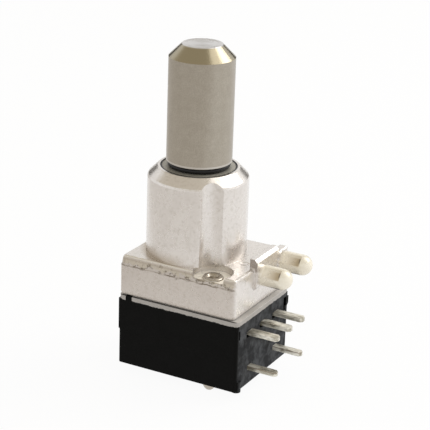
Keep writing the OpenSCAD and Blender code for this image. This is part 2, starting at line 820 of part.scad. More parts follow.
// Ejector pin's mark on the flange's top
module ejector_mark() {
    mark_r = 0.42;
    mark_w = 0.12;
    mark_depth = 0.05;
    translate([5.45, -0.75, 0]) ring(mark_r - mark_w, mark_r, -mark_depth, mark_depth);
}

// Rivet through the whole stack: domed head below, rolled hollow end in the recess above
module rivet(side) {
    shank_r = rivet_d / 2;
    head_r = shank_r + 0.12;
    wall = 0.1;
    hollow_floor_r = 0.3;
    hollow_deep = 0.5;
    z_seat = -recess_drop;
    z_lip = z_seat + rivet_lip_h;
    color("#a39c90") translate([side * rivet_at, -side * rivet_at, 0]) rotate_extrude() {
        difference() {
            union() {
                translate([0, z_bottom]) square([shank_r, z_seat - z_bottom]);
                translate([0, z_seat]) square([rivet_lip_r - rivet_lip_h / 2, rivet_lip_h]);
                intersection() {
                    translate([rivet_lip_r - rivet_lip_h, z_seat]) circle(rivet_lip_h);
                    translate([0, z_seat]) square([through, through]);
                }
                intersection() {
                    translate([0, z_bottom]) scale([head_r / rivet_head_h, 1]) circle(rivet_head_h);
                    translate([0, z_bottom - through]) square([through, through]);
                }
            }
            polygon([
                [0, z_seat - hollow_deep],
                [hollow_floor_r, z_seat - hollow_deep],
                [shank_r - wall, z_seat],
                [rivet_hollow_r, z_lip],
                [rivet_hollow_r, z_lip + wall],
                [0, z_lip + wall]
            ]);
        }
    }
}

module front_rivet() rivet(1);
module rear_rivet() rivet(-1);

housing();
shaft();
seal_ring();
seal_washer();
thrust_washer();
shaft_clip();
click_spring();
wiper_rotor();
wiper();
spacer_plate();
resistor_wafer();
terminal_1();
terminal_2();
terminal_3();
terminal_block();
switch_rotor();
switch_contact();
switch_terminal_1();
switch_terminal_2();
switch_case();
front_rivet();
rear_rivet();
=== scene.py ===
# Looks of a miniature rotary potentiometer with an on/off switch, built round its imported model.
# The sections follow the order in which the real part is put together.

import math

import bmesh
import bpy
from mathutils import Matrix, Vector


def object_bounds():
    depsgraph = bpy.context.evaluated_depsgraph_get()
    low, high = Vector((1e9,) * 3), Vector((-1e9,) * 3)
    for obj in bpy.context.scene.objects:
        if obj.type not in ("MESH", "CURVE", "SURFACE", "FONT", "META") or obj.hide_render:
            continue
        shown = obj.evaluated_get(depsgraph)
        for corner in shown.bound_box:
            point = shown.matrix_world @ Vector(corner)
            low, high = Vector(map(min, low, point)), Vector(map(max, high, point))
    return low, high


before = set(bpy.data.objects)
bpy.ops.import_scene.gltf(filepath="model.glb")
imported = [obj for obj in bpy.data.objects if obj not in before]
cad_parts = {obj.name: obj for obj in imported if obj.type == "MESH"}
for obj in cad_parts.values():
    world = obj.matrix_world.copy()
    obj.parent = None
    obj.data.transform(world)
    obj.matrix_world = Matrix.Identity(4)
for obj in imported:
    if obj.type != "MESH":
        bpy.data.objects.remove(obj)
cad_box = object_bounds()

# Housing
# One zinc die casting with a thin bright plating: flange, barrel, rib and pegs. It comes satin
# and slightly cloudy out of a steel mould, and the chamfer at its mouth is turned bright.

MM = 0.001


def linear(hex_colour):
    """An sRGB hex colour as linear red, green, blue and alpha."""
    channels = [int(hex_colour[i:i + 2], 16) / 255 for i in (1, 3, 5)]
    return [c / 12.92 if c <= 0.04045 else ((c + 0.055) / 1.055) ** 2.4 for c in channels] + [1.0]


def feed(node, settings):
    """Sets a node's properties, and its inputs by name or number. An input takes a plain value,
    an sRGB hex colour, a socket, or a node whose first output in use is meant."""
    for key, value in settings.items():
        if isinstance(key, str) and hasattr(node, key):
            setattr(node, key, value)
            continue
        if isinstance(value, bpy.types.Node):
            value = next(out for out in value.outputs if out.enabled)
        if isinstance(value, bpy.types.NodeSocket):
            node.id_data.links.new(value, node.inputs[key])
        elif isinstance(value, str):
            node.inputs[key].default_value = linear(value)
        else:
            node.inputs[key].default_value = value


def add(tree, kind, settings):
    """Adds a node to a tree with its settings and links."""
    node = tree.nodes.new("ShaderNode" + kind)
    feed(node, settings)
    return node


def new_finish(name):
    """A new material: itself, its node tree, its shader and the object's own coordinates."""
    finish = bpy.data.materials.new(name)
    finish.use_nodes = True
    tree = finish.node_tree
    return finish, tree, tree.nodes["Principled BSDF"], add(tree, "TexCoord", {}).outputs["Object"]


def coat(finish, *nodes):
    """Gives CAD nodes a material."""
    for name in nodes:
        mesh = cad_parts[name].data
        mesh.materials.clear()
        mesh.materials.append(finish)


casting, tree, shader, place = new_finish("plated zinc die casting")
axes = add(tree, "SeparateXYZ", {0: place}).outputs

# Places on the casting that its marks follow
front_y = -5.05 * MM
flange_x = 6.75 * MM
bottom_z = -3.82 * MM
parting_z = -0.95 * MM
stain_edge_z = -0.67 * MM
lip_z = -0.1 * MM
rib_x = 6.28 * MM
rib_y = -1.34 * MM
rib_root_z = -0.5 * MM
front_peg_y = -0.35 * MM
peg_pitch = 4.1 * MM
peg_axis_z = -0.82 * MM
peg_flat_out = 0.81 * MM
peg_flat_turn = math.radians(48)
peg_root_x = 7.05 * MM
nose_x = 9.15 * MM
stripe_drop = 0.62 * MM
barrel_radius = 4.65 * MM
mouth_radius = 3.49 * MM
mouth_floor_z = 7.7 * MM
chamfer_z = 7.4 * MM
rivet_reach = 5.606 * MM
recess_radius = 1.83 * MM
recess_z = -0.6 * MM

# Soft clouds of plating about 1.5 mm wide, blots of 0.3 mm where it has dulled, and a fine satin
# grain drawn at 0.12 mm to show at all
clouds = add(tree, "TexNoise", {"Vector": place, "Scale": 1 / (1.5 * MM), "Detail": 3.0})
blots = add(tree, "TexNoise",
            {"Vector": place, "Scale": 1 / (0.3 * MM), "Detail": 4.0, "Roughness": 0.7})
grain = add(tree, "TexNoise", {"Vector": place, "Scale": 1 / (0.12 * MM), "Detail": 2.0})
plating_and_front_shade = add(tree, "Mix", {"data_type": "RGBA", 0: clouds, 6: "#dcd6d2", 7: "#e9e5e0"})
dull_spots = add(tree, "MapRange", {0: blots, 1: 0.5, 2: 0.72, 3: 0, 4: 0.45})
plating_and_front_shade = add(tree, "Mix", {"data_type": "RGBA", 0: dull_spots, 6: plating_and_front_shade, 7: "#b9b2a6"})
# Painted shade: the front face is darkened a shade below the rest, for the duller light that falls
# on it
on_front = add(tree, "MapRange",
               {0: axes["Y"], 1: front_y + 0.1 * MM, 2: front_y + 0.35 * MM, 3: 1, 4: 0})
plating_and_front_shade = add(tree, "Mix", {"data_type": "RGBA", "blend_type": "MULTIPLY", 0: on_front,
                            6: plating_and_front_shade, 7: "#e4e0dc"})

# The upper half of the mould left the front face browner above the parting line, down to a
# scarred edge that wanders by about 0.3 mm
drift = add(tree, "TexNoise",
            {"Vector": place, "Scale": 1 / (0.8 * MM), "Detail": 5.0, "Roughness": 0.62})
drift = add(tree, "MapRange", {0: drift, 1: 0.3, 2: 0.7, 3: -0.3 * MM, 4: 0.3 * MM})
edge_height = add(tree, "Math", {"operation": "ADD", 0: axes["Z"], 1: drift})
above = add(tree, "MapRange", {0: edge_height, 1: stain_edge_z - 0.05 * MM,
                               2: stain_edge_z + 0.05 * MM, 3: 0, 4: 1})
below_top = add(tree, "MapRange", {0: axes["Z"], 1: lip_z - 0.05 * MM, 2: lip_z, 3: 1, 4: 0})
stain = add(tree, "Math", {"operation": "MULTIPLY", 0: above, 1: on_front})
stain = add(tree, "Math", {"operation": "MULTIPLY", 0: stain, 1: below_top})
darkest = add(tree, "MapRange", {0: axes["Z"], 1: stain_edge_z + 0.22 * MM,
                                 2: stain_edge_z + 0.37 * MM, 3: 0, 4: 1})
stain_tone = add(tree, "Mix", {"data_type": "RGBA", 0: darkest, 6: "#c9c0b1", 7: "#b3a899"})
stain_and_glint = add(tree, "Mix", {"data_type": "RGBA", 0: stain, 6: plating_and_front_shade, 7: stain_tone})

# Painted highlight: the top edge of the front face is painted pale, a glint along its eased edge
edge_glint = add(tree, "MapRange",
          {0: axes["Z"], 1: lip_z - 0.04 * MM, 2: lip_z + 0.02 * MM, 3: 0, 4: 1})
edge_glint = add(tree, "Math", {"operation": "MULTIPLY", 0: edge_glint, 1: on_front})
stain_and_glint = add(tree, "Mix", {"data_type": "RGBA", 0: edge_glint, 6: stain_and_glint, 7: "#fffcf4"})

# Dark scars are strung along the stain's lower edge
near_edge = add(tree, "MapRange", {0: edge_height, 1: stain_edge_z - 0.28 * MM,
                                   2: stain_edge_z - 0.11 * MM, 3: 0, 4: 1})
past_edge = add(tree, "MapRange", {0: edge_height, 1: stain_edge_z + 0.17 * MM,
                                   2: stain_edge_z + 0.42 * MM, 3: 1, 4: 0})
scars = add(tree, "Math", {"operation": "MULTIPLY", 0: near_edge, 1: past_edge})
specks = add(tree, "MapRange", {0: blots, 1: 0.52, 2: 0.6, 3: 0, 4: 1})
scars = add(tree, "Math", {"operation": "MULTIPLY", 0: scars, 1: specks})
scars = add(tree, "Math", {"operation": "MULTIPLY", 0: scars, 1: on_front})

# The parting line itself is a hair of flash that fades in and out
seam_drift = add(tree, "Math", {"operation": "MULTIPLY", 0: drift, 1: 0.25})
seam_height = add(tree, "Math", {"operation": "ADD", 0: axes["Z"], 1: seam_drift})
seam = add(tree, "Math", {"operation": "SUBTRACT", 0: seam_height, 1: parting_z})
seam = add(tree, "Math", {"operation": "ABSOLUTE", 0: seam})
seam = add(tree, "MapRange", {0: seam, 1: 0.02 * MM, 2: 0.07 * MM, 3: 1, 4: 0})
seam = add(tree, "Math", {"operation": "MULTIPLY", 0: seam, 1: on_front})
faded = add(tree, "MapRange", {0: clouds, 1: 0.42, 2: 0.62, 3: 1, 4: 0.2})
seam = add(tree, "Math", {"operation": "MULTIPLY", 0: seam, 1: faded})
marks = add(tree, "Math", {"operation": "MAXIMUM", 0: scars, 1: seam})
marks = add(tree, "Math", {"operation": "MULTIPLY", 0: marks, 1: 0.85})
marked = add(tree, "Mix", {"data_type": "RGBA", 0: marks, 6: stain_and_glint, 7: "#746858"})

# The rib's front end was sheared off its gate, which leaves it dull and brown
rib_end = add(tree, "MapRange",
              {0: axes["Y"], 1: rib_y - 0.02 * MM, 2: rib_y + 0.04 * MM, 3: 1, 4: 0})
on_rib = add(tree, "MapRange",
             {0: axes["X"], 1: rib_x - 0.02 * MM, 2: rib_x + 0.02 * MM, 3: 0, 4: 1})
above_flange = add(tree, "MapRange", {0: axes["Z"], 1: 0.02 * MM, 2: 0.06 * MM, 3: 0, 4: 1})
past_flange = add(tree, "MapRange",
                  {0: axes["X"], 1: flange_x + 0.02 * MM, 2: flange_x + 0.05 * MM, 3: 0, 4: 1})
clear_of_flange = add(tree, "Math", {"operation": "MAXIMUM", 0: above_flange, 1: past_flange})
above_pad = add(tree, "MapRange",
                {0: axes["Z"], 1: rib_root_z + 0.1 * MM, 2: rib_root_z + 0.3 * MM, 3: 0, 4: 1})
sheared = add(tree, "Math", {"operation": "MULTIPLY", 0: clear_of_flange, 1: above_pad})
sheared = add(tree, "Math", {"operation": "MULTIPLY", 0: sheared, 1: rib_end})
sheared = add(tree, "Math", {"operation": "MULTIPLY", 0: sheared, 1: on_rib})
sheared_tone = add(tree, "Mix", {"data_type": "RGBA", 0: blots, 6: "#6f6257", 7: "#a3968b"})
ribbed = add(tree, "Mix", {"data_type": "RGBA", 0: sheared, 6: marked, 7: sheared_tone})

# The pegs are yellower, and browned towards the nose along the flats where flash was trimmed
on_peg = add(tree, "MapRange",
             {0: axes["X"], 1: peg_root_x, 2: peg_root_x + 0.3 * MM, 3: 0, 4: 1})
peg_tone = add(tree, "Mix", {"data_type": "RGBA", 0: clouds, 6: "#e9e2d1", 7: "#f5f0e3"})
pegged = add(tree, "Mix", {"data_type": "RGBA", 0: on_peg, 6: ribbed, 7: peg_tone})
rear_peg = add(tree, "Math",
               {"operation": "GREATER_THAN", 0: axes["Y"], 1: front_peg_y + peg_pitch / 2})
peg_y = add(tree, "Math", {"operation": "MULTIPLY_ADD", 0: rear_peg, 1: -peg_pitch, 2: axes["Y"]})
peg_y = add(tree, "Math", {"operation": "SUBTRACT", 0: peg_y, 1: front_peg_y})
peg_z = add(tree, "Math", {"operation": "SUBTRACT", 0: axes["Z"], 1: peg_axis_z})
turn_sine = math.sin(peg_flat_turn)
turn_cosine = math.cos(peg_flat_turn)
outward = add(tree, "Math", {"operation": "MULTIPLY", 0: peg_y, 1: -turn_sine})
outward = add(tree, "Math", {"operation": "MULTIPLY_ADD", 0: peg_z, 1: turn_cosine, 2: outward})
along_flat = add(tree, "Math", {"operation": "MULTIPLY", 0: peg_z, 1: turn_sine})
along_flat = add(tree, "Math",
                 {"operation": "MULTIPLY_ADD", 0: peg_y, 1: turn_cosine, 2: along_flat})
on_flat = add(tree, "MapRange",
              {0: outward, 1: peg_flat_out - 0.03 * MM, 2: peg_flat_out + 0.03 * MM, 3: 0, 4: 1})
before_nose = add(tree, "MapRange",
                  {0: axes["X"], 1: nose_x - 0.05 * MM, 2: nose_x + 0.05 * MM, 3: 1, 4: 0})
on_flat = add(tree, "Math", {"operation": "MULTIPLY", 0: on_flat, 1: before_nose})
trimmed = add(tree, "Math", {"operation": "MULTIPLY", 0: on_flat, 1: on_peg})
trimmed_part = add(tree, "MapRange", {0: along_flat, 1: 0.18 * MM, 2: 0.28 * MM, 3: 0.9, 4: 0.4})
trimmed = add(tree, "Math", {"operation": "MULTIPLY", 0: trimmed, 1: trimmed_part})
browning = add(tree, "MapRange",
               {0: axes["X"], 1: peg_root_x + 0.75 * MM, 2: nose_x - 0.25 * MM, 3: 0, 4: 1})
trim_tone = add(tree, "Mix", {"data_type": "RGBA", 0: browning, 6: "#f6f0e3", 7: "#b8a78a"})
pegged = add(tree, "Mix", {"data_type": "RGBA", 0: trimmed, 6: pegged, 7: trim_tone})

# Painted shadow: each flat stops at the nose in a dark painted crevice shadow, and a brown band of
# painted shade runs under the peg towards the nose
nose_crevice_shadow = add(tree, "MapRange",
           {0: axes["X"], 1: nose_x - 0.17 * MM, 2: nose_x - 0.01 * MM, 3: 0, 4: 1})
crevice_shadow_side = add(tree, "Math", {"operation": "ABSOLUTE", 0: along_flat})
crevice_shadow_side = add(tree, "MapRange", {0: crevice_shadow_side, 1: 0.12 * MM, 2: 0.3 * MM, 3: 1, 4: 0})
nose_crevice_shadow = add(tree, "Math", {"operation": "MULTIPLY", 0: nose_crevice_shadow, 1: crevice_shadow_side})
nose_crevice_shadow = add(tree, "Math", {"operation": "MULTIPLY", 0: nose_crevice_shadow, 1: on_flat})
underside_shade = add(tree, "MapRange",
            {0: peg_z, 1: -stripe_drop, 2: -stripe_drop - 0.14 * MM, 3: 0, 4: 0.85})
outer_half = add(tree, "MapRange", {0: axes["X"], 1: peg_root_x + 0.65 * MM,
                                    2: peg_root_x + 1.35 * MM, 3: 0, 4: 1})
underside_shade = add(tree, "Math", {"operation": "MULTIPLY", 0: underside_shade, 1: outer_half})
underside_shade = add(tree, "Math", {"operation": "MULTIPLY", 0: underside_shade, 1: before_nose})
peg_shade = add(tree, "Math", {"operation": "MAXIMUM", 0: nose_crevice_shadow, 1: underside_shade})
pegged = add(tree, "Mix", {"data_type": "RGBA", 0: peg_shade, 6: pegged, 7: "#33271a"})

# Painted shade lies round the barrel's foot, strongest on the blind side. A black painted shadow
# fills the narrow gap between the barrel's mouth and its washer, and a dark painted shadow the
# joint with the plate along the front.
flat_place = add(tree, "VectorMath", {"operation": "MULTIPLY", 0: place, 1: (1, 1, 0)})
radius = add(tree, "VectorMath", {"operation": "LENGTH", 0: flat_place}).outputs["Value"]
round_foot = add(tree, "MapRange", {0: radius, 1: barrel_radius + 0.05 * MM,
                                    2: barrel_radius + 0.65 * MM, 3: 1, 4: 0})
low = add(tree, "MapRange",
          {"interpolation_type": "SMOOTHSTEP", 0: axes["Z"], 1: 0.0, 2: 1.3 * MM, 3: 0.75, 4: 0})
above_top = add(tree, "Math", {"operation": "GREATER_THAN", 0: axes["Z"], 1: -0.01 * MM})
blind_side = add(tree, "MapRange", {0: axes["X"], 1: 0, 2: 1.5 * MM, 3: 1, 4: 0.1})
dust_and_foot_shade = add(tree, "Math", {"operation": "MULTIPLY", 0: round_foot, 1: low})
dust_and_foot_shade = add(tree, "Math", {"operation": "MULTIPLY", 0: dust_and_foot_shade, 1: above_top})
dust_and_foot_shade = add(tree, "Math", {"operation": "MULTIPLY", 0: dust_and_foot_shade, 1: blind_side})
colour = add(tree, "Mix", {"data_type": "RGBA", 0: dust_and_foot_shade, 6: pegged, 7: "#b3a592"})
# Painted shadow: black in the gap at the barrel's mouth
in_mouth = add(tree, "MapRange",
               {0: radius, 1: mouth_radius, 2: mouth_radius + 0.07 * MM, 3: 1, 4: 0})
high = add(tree, "MapRange",
           {0: axes["Z"], 1: mouth_floor_z, 2: mouth_floor_z + 0.1 * MM, 3: 0, 4: 1})
mouth_gap_shadow = add(tree, "Math", {"operation": "MULTIPLY", 0: in_mouth, 1: high})
colour = add(tree, "Mix", {"data_type": "RGBA", 0: mouth_gap_shadow, 6: colour, 7: "#1c1918"})
# Painted shadow: dark along the front joint with the plate
joint_shadow = add(tree, "MapRange",
            {0: axes["Z"], 1: bottom_z + 0.02 * MM, 2: bottom_z + 0.06 * MM, 3: 0.9, 4: 0})
joint_shadow = add(tree, "Math", {"operation": "MULTIPLY", 0: joint_shadow, 1: on_front})
colour = add(tree, "Mix", {"data_type": "RGBA", 0: joint_shadow, 6: colour, 7: "#2b2521"})

# The bottoms of the rivet recesses are painted pale, painted light against the shade in them.
# They, the lowest edge, the glint along the top edge and the pegs keep a matt skin. The rivets
# stand on a diagonal, so both are found from one.
diagonal = math.sqrt(0.5)
along = add(tree, "VectorMath",
            {"operation": "DOT_PRODUCT", 0: place, 1: (diagonal, -diagonal, 0)}).outputs["Value"]
along = add(tree, "Math", {"operation": "ABSOLUTE", 0: along})
along = add(tree, "Math", {"operation": "SUBTRACT", 0: along, 1: rivet_reach})
across = add(tree, "VectorMath",
             {"operation": "DOT_PRODUCT", 0: place, 1: (diagonal, diagonal, 0)}).outputs["Value"]
from_rivet = add(tree, "CombineXYZ", {"X": along, "Y": across})
from_rivet = add(tree, "VectorMath", {"operation": "LENGTH", 0: from_rivet}).outputs["Value"]
in_recess = add(tree, "MapRange", {0: from_rivet, 1: recess_radius - 0.08 * MM,
                                   2: recess_radius - 0.02 * MM, 3: 1, 4: 0})
sunk = add(tree, "Math", {"operation": "COMPARE", 0: axes["Z"], 1: recess_z, 2: 0.15 * MM})
behind_front = add(tree, "Math", {"operation": "LESS_THAN", 0: on_front, 1: 0.5})
recessed = add(tree, "Math", {"operation": "MULTIPLY", 0: in_recess, 1: sunk})
recessed = add(tree, "Math", {"operation": "MULTIPLY", 0: recessed, 1: behind_front})
colour = add(tree, "Mix", {"data_type": "RGBA", 0: recessed, 6: colour, 7: "#fffaf0"})
low_edge = add(tree, "MapRange",
               {0: axes["Z"], 1: bottom_z + 0.27 * MM, 2: bottom_z + 0.42 * MM, 3: 1, 4: 0})
dull_peg = add(tree, "Math", {"operation": "MULTIPLY", 0: on_peg, 1: 0.95})
matt_parts = add(tree, "Math", {"operation": "MAXIMUM", 0: recessed, 1: low_edge})
matt_parts = add(tree, "Math", {"operation": "MAXIMUM", 0: matt_parts, 1: dull_peg})
matt_parts = add(tree, "Math", {"operation": "MAXIMUM", 0: matt_parts, 1: edge_glint})
metal_share = add(tree, "MapRange", {0: matt_parts, 3: 0.8, 4: 0.2})

# The chamfer at the mouth is turned, and has one even gloss
turned = add(tree, "MapRange",
             {0: axes["Z"], 1: chamfer_z - 0.04 * MM, 2: chamfer_z + 0.02 * MM, 3: 0, 4: 1})
satin = add(tree, "MapRange", {0: clouds, 1: 0.3, 2: 0.7, 3: 0.22, 4: 0.31})
gloss = add(tree, "Mix", {"data_type": "FLOAT", 0: turned, 2: satin, 3: 0.24})
relief = add(tree, "Math", {"operation": "MULTIPLY_ADD", 0: grain, 1: 0.25, 2: seam})
relief = add(tree, "Math", {"operation": "SUBTRACT", 0: relief, 1: scars})
# A die casting has no sharp edge: each is eased by about 0.08 mm
eased = add(tree, "Bevel", {"samples": 6, "Radius": 0.08 * MM})
raised = add(tree, "Bump",
             {"Strength": 0.7, "Distance": 0.03 * MM, "Height": relief, "Normal": eased})
feed(shader, {"Metallic": metal_share, "Base Color": colour, "Roughness": gloss, "Normal": raised})
coat(casting, "housing")

# Shaft
# Free-cutting steel bar, ground and barrel-plated to a fine matt skin. The tip's chamfer and
# face are cut last on the lathe, so they are bright and keep the tool's rings.

steel, tree, shader, place = new_finish("plated steel bar")
axes = add(tree, "SeparateXYZ", {0: place}).outputs
flat_place = add(tree, "VectorMath", {"operation": "MULTIPLY", 0: place, 1: (1, 1, 0)})
radius = add(tree, "VectorMath", {"operation": "LENGTH", 0: flat_place}).outputs["Value"]
mottle = add(tree, "TexNoise", {"Vector": place, "Scale": 1 / (0.7 * MM), "Detail": 4.0})
# The matt skin's grain is finer than a hair, and is drawn at 0.1 mm so that it shows
grain = add(tree, "TexNoise", {"Vector": place, "Scale": 1 / (0.1 * MM), "Detail": 3.0})
# Tool rings on the face, also drawn coarser than the real 0.05 mm feed
rings = add(tree, "TexNoise",
            {"noise_dimensions": "1D", "W": radius, "Scale": 1 / (0.11 * MM), "Detail": 2.0})
shaft_end_z = 19.5 * MM
tip_chamfer = 1.16 * MM
foot_z = 8.92 * MM
tip = add(tree, "MapRange", {0: axes["Z"], 1: shaft_end_z - tip_chamfer - 0.04 * MM,
                             2: shaft_end_z - tip_chamfer + 0.02 * MM, 3: 0, 4: 1})
face = add(tree, "MapRange", {0: axes["Z"], 1: shaft_end_z - 0.06 * MM,
                              2: shaft_end_z - 0.02 * MM, 3: 0, 4: 1})
# Painted highlight: the shaft's foot, just above the seal ring, is painted a lighter band for the
# glint on its lower edge
foot = add(tree, "MapRange",
           {0: axes["Z"], 1: foot_z - 0.02 * MM, 2: foot_z + 0.02 * MM, 3: 1, 4: 0})
skin = add(tree, "Mix", {"data_type": "RGBA", 0: mottle, 6: "#a79f91", 7: "#bbb4a7"})
grey_grain = add(tree, "MapRange", {0: grain, 1: 0.35, 2: 0.65, 3: 0, 4: 0.5})
skin = add(tree, "Mix", {"data_type": "RGBA", 0: grey_grain, 6: skin, 7: "#989086"})
cut = add(tree, "Mix", {"data_type": "RGBA", 0: face, 6: "#a79e88", 7: "#c8c5c2"})
skin = add(tree, "Mix", {"data_type": "RGBA", 0: foot, 6: skin, 7: "#c6c1b9"})
colour = add(tree, "Mix", {"data_type": "RGBA", 0: tip, 6: skin, 7: cut})
gloss = add(tree, "Mix", {"data_type": "FLOAT", 0: tip, 2: 0.33, 3: 0.22})
ring_depth = add(tree, "Math", {"operation": "MULTIPLY", 0: rings, 1: face})
ring_depth = add(tree, "Math", {"operation": "MULTIPLY", 0: ring_depth, 1: 2.5})
relief = add(tree, "Math", {"operation": "MULTIPLY_ADD", 0: grain, 1: 0.3, 2: ring_depth})
raised = add(tree, "Bump", {"Strength": 0.8, "Distance": 0.02 * MM, "Height": relief})
feed(shader, {"Metallic": 1.0, "Base Color": colour, "Roughness": gloss, "Normal": raised})
coat(steel, "shaft")

# Seal ring
# A moulded ring of black nitrile rubber, squeezed between the shaft's head and the washer in
# the barrel's mouth. Its skin is smooth, with a little dust on it.

rubber, tree, shader, place = new_finish("nitrile rubber")
dust_and_foot_shade = add(tree, "TexNoise", {"Vector": place, "Scale": 1 / (0.35 * MM), "Detail": 4.0})
colour = add(tree, "Mix", {"data_type": "RGBA", 0: dust_and_foot_shade, 6: "#070708", 7: "#19191c"})
raised = add(tree, "Bump", {"Strength": 0.4, "Distance": 0.02 * MM, "Height": dust_and_foot_shade})
feed(shader,
     {"Base Color": colour, "Roughness": 0.42, "Specular IOR Level": 0.35, "Normal": raised})
coat(rubber, "seal_ring")

# Washers
# Turned steel washers, one in the barrel's mouth and one under the cavity's roof. The turning
# rings show as lighter and darker lines.

washer_steel, tree, shader, place = new_finish("turned washer steel")
flat_place = add(tree, "VectorMath", {"operation": "MULTIPLY", 0: place, 1: (1, 1, 0)})
radius = add(tree, "VectorMath", {"operation": "LENGTH", 0: flat_place}).outputs["Value"]
rings = add(tree, "TexNoise",
            {"noise_dimensions": "1D", "W": radius, "Scale": 1 / (0.16 * MM), "Detail": 1.0})
colour = add(tree, "Mix", {"data_type": "RGBA", 0: rings, 6: "#8a877e", 7: "#c6c3b9"})
# A black painted shadow fills the last of the gap between the washer's rim and the barrel's mouth
rim_shadow_radius = 3.3 * MM
rim_shadow = add(tree, "MapRange",
              {0: radius, 1: rim_shadow_radius, 2: rim_shadow_radius + 0.06 * MM, 3: 0, 4: 1})
colour = add(tree, "Mix", {"data_type": "RGBA", 0: rim_shadow, 6: colour, 7: "#1c1918"})
raised = add(tree, "Bump", {"Strength": 0.6, "Distance": 0.03 * MM, "Height": rings})
feed(shader, {"Metallic": 0.4, "Base Color": colour, "Roughness": 0.45, "Normal": raised})
coat(washer_steel, "seal_washer", "thrust_washer")

# Clip and click spring
# The clip is pushed into the shaft's groove and holds it in the barrel. The click spring lies
# under a step in the casting, over the wiper's rotor. Both are stamped from hardened spring
# steel strip, and keep its fine rolled grain.

spring_steel, tree, shader, place = new_finish("rolled spring steel")
along_strip = add(tree, "Mapping", {"Vector": place, "Scale": (1 / 12, 1, 1)})
rolled = add(tree, "TexNoise", {"Vector": along_strip, "Scale": 1 / (0.08 * MM), "Detail": 2.0})
colour = add(tree, "Mix", {"data_type": "RGBA", 0: rolled, 6: "#8f8a80", 7: "#aba59a"})
raised = add(tree, "Bump", {"Strength": 0.3, "Distance": 0.01 * MM, "Height": rolled})
feed(shader, {"Metallic": 1.0, "Base Color": colour, "Roughness": 0.32, "Normal": raised})
coat(spring_steel, "shaft_clip", "click_spring")

# Rotors
# Two discs that turn with the shaft, one in the casting and one in the switch case. They are
# moulded from natural white acetal, which looks milky and slightly waxy.

acetal, tree, shader, place = new_finish("moulded acetal")
milk = add(tree, "TexNoise", {"Vector": place, "Scale": 1 / (0.8 * MM), "Detail": 2.0})
colour = add(tree, "Mix", {"data_type": "RGBA", 0: milk, 6: "#d8d3c4", 7: "#e6e1d4"})
raised = add(tree, "Bump", {"Strength": 0.2, "Distance": 0.02 * MM, "Height": milk})
feed(shader, {"Base Color": colour, "Roughness": 0.48, "Normal": raised})
coat(acetal, "wiper_rotor", "switch_rotor")

# Wiper and switch contact
# Sprung blades under the rotors, stamped from thin phosphor bronze strip. The rolling mill has
# left them polished, with fine lines along the strip.

bronze, tree, shader, place = new_finish("phosphor bronze strip")
along_strip = add(tree, "Mapping", {"Vector": place, "Scale": (1, 1 / 14, 1)})
rolled = add(tree, "TexNoise", {"Vector": along_strip, "Scale": 1 / (0.08 * MM), "Detail": 2.0})
colour = add(tree, "Mix", {"data_type": "RGBA", 0: rolled, 6: "#b48a4a", 7: "#cfa763"})
raised = add(tree, "Bump", {"Strength": 0.3, "Distance": 0.01 * MM, "Height": rolled})
feed(shader, {"Metallic": 1.0, "Base Color": colour, "Roughness": 0.3, "Normal": raised})
coat(bronze, "wiper", "switch_contact")

# Spacer plate
# Moulded from grey plastic, with a matt skin. Black flash from the moulding under it creeps
# over its lower edge in a ragged line.

grey_plastic, tree, shader, place = new_finish("grey moulded plastic")
axes = add(tree, "SeparateXYZ", {0: place}).outputs
mottle = add(tree, "TexNoise", {"Vector": place, "Scale": 1 / (0.6 * MM), "Detail": 3.0})
ragged = add(tree, "TexNoise",
             {"Vector": place, "Scale": 1 / (0.35 * MM), "Detail": 3.0, "Roughness": 0.7})
plate_bottom_z = -4.34 * MM
ragged = add(tree, "MapRange", {0: ragged, 1: 0.35, 2: 0.7,
                                3: plate_bottom_z - 0.02 * MM, 4: plate_bottom_z + 0.1 * MM})
creep = add(tree, "Math", {"operation": "LESS_THAN", 0: axes["Z"], 1: ragged})
grey = add(tree, "Mix", {"data_type": "RGBA", 0: mottle, 6: "#a19d9a", 7: "#b7b4b1"})
# Painted light: the ledge that stands out past the casting is painted paler, and a dark painted
# shadow marks its front edge where it meets the casting
plate_top_z = -3.86 * MM
ledge = add(tree, "MapRange",
            {0: axes["Z"], 1: plate_top_z - 0.07 * MM, 2: plate_top_z - 0.02 * MM, 3: 0, 4: 1})
grey = add(tree, "Mix", {"data_type": "RGBA", 0: ledge, 6: grey, 7: "#c6c3c0"})
plate_front_y = -5.08 * MM
front_edge = add(tree, "MapRange", {0: axes["Y"], 1: plate_front_y + 0.08 * MM,
                                    2: plate_front_y + 0.18 * MM, 3: 1, 4: 0})
front_joint_shadow = add(tree, "Math", {"operation": "MULTIPLY", 0: ledge, 1: front_edge})
grey = add(tree, "Mix", {"data_type": "RGBA", 0: front_joint_shadow, 6: grey, 7: "#221e1b"})
colour = add(tree, "Mix", {"data_type": "RGBA", 0: creep, 6: grey, 7: "#141414"})
eased = add(tree, "Bevel", {"samples": 6, "Radius": 0.05 * MM})
raised = add(tree, "Bump",
             {"Strength": 0.3, "Distance": 0.02 * MM, "Height": mottle, "Normal": eased})
feed(shader, {"Base Color": colour, "Roughness": 0.5, "Specular IOR Level": 0.4, "Normal": raised})
coat(grey_plastic, "spacer_plate")

# Resistor wafer
# A disc with a tongue towards the terminals, punched from brown phenolic laminate and held in the
# terminal block. Its carbon track is printed on the upper face.

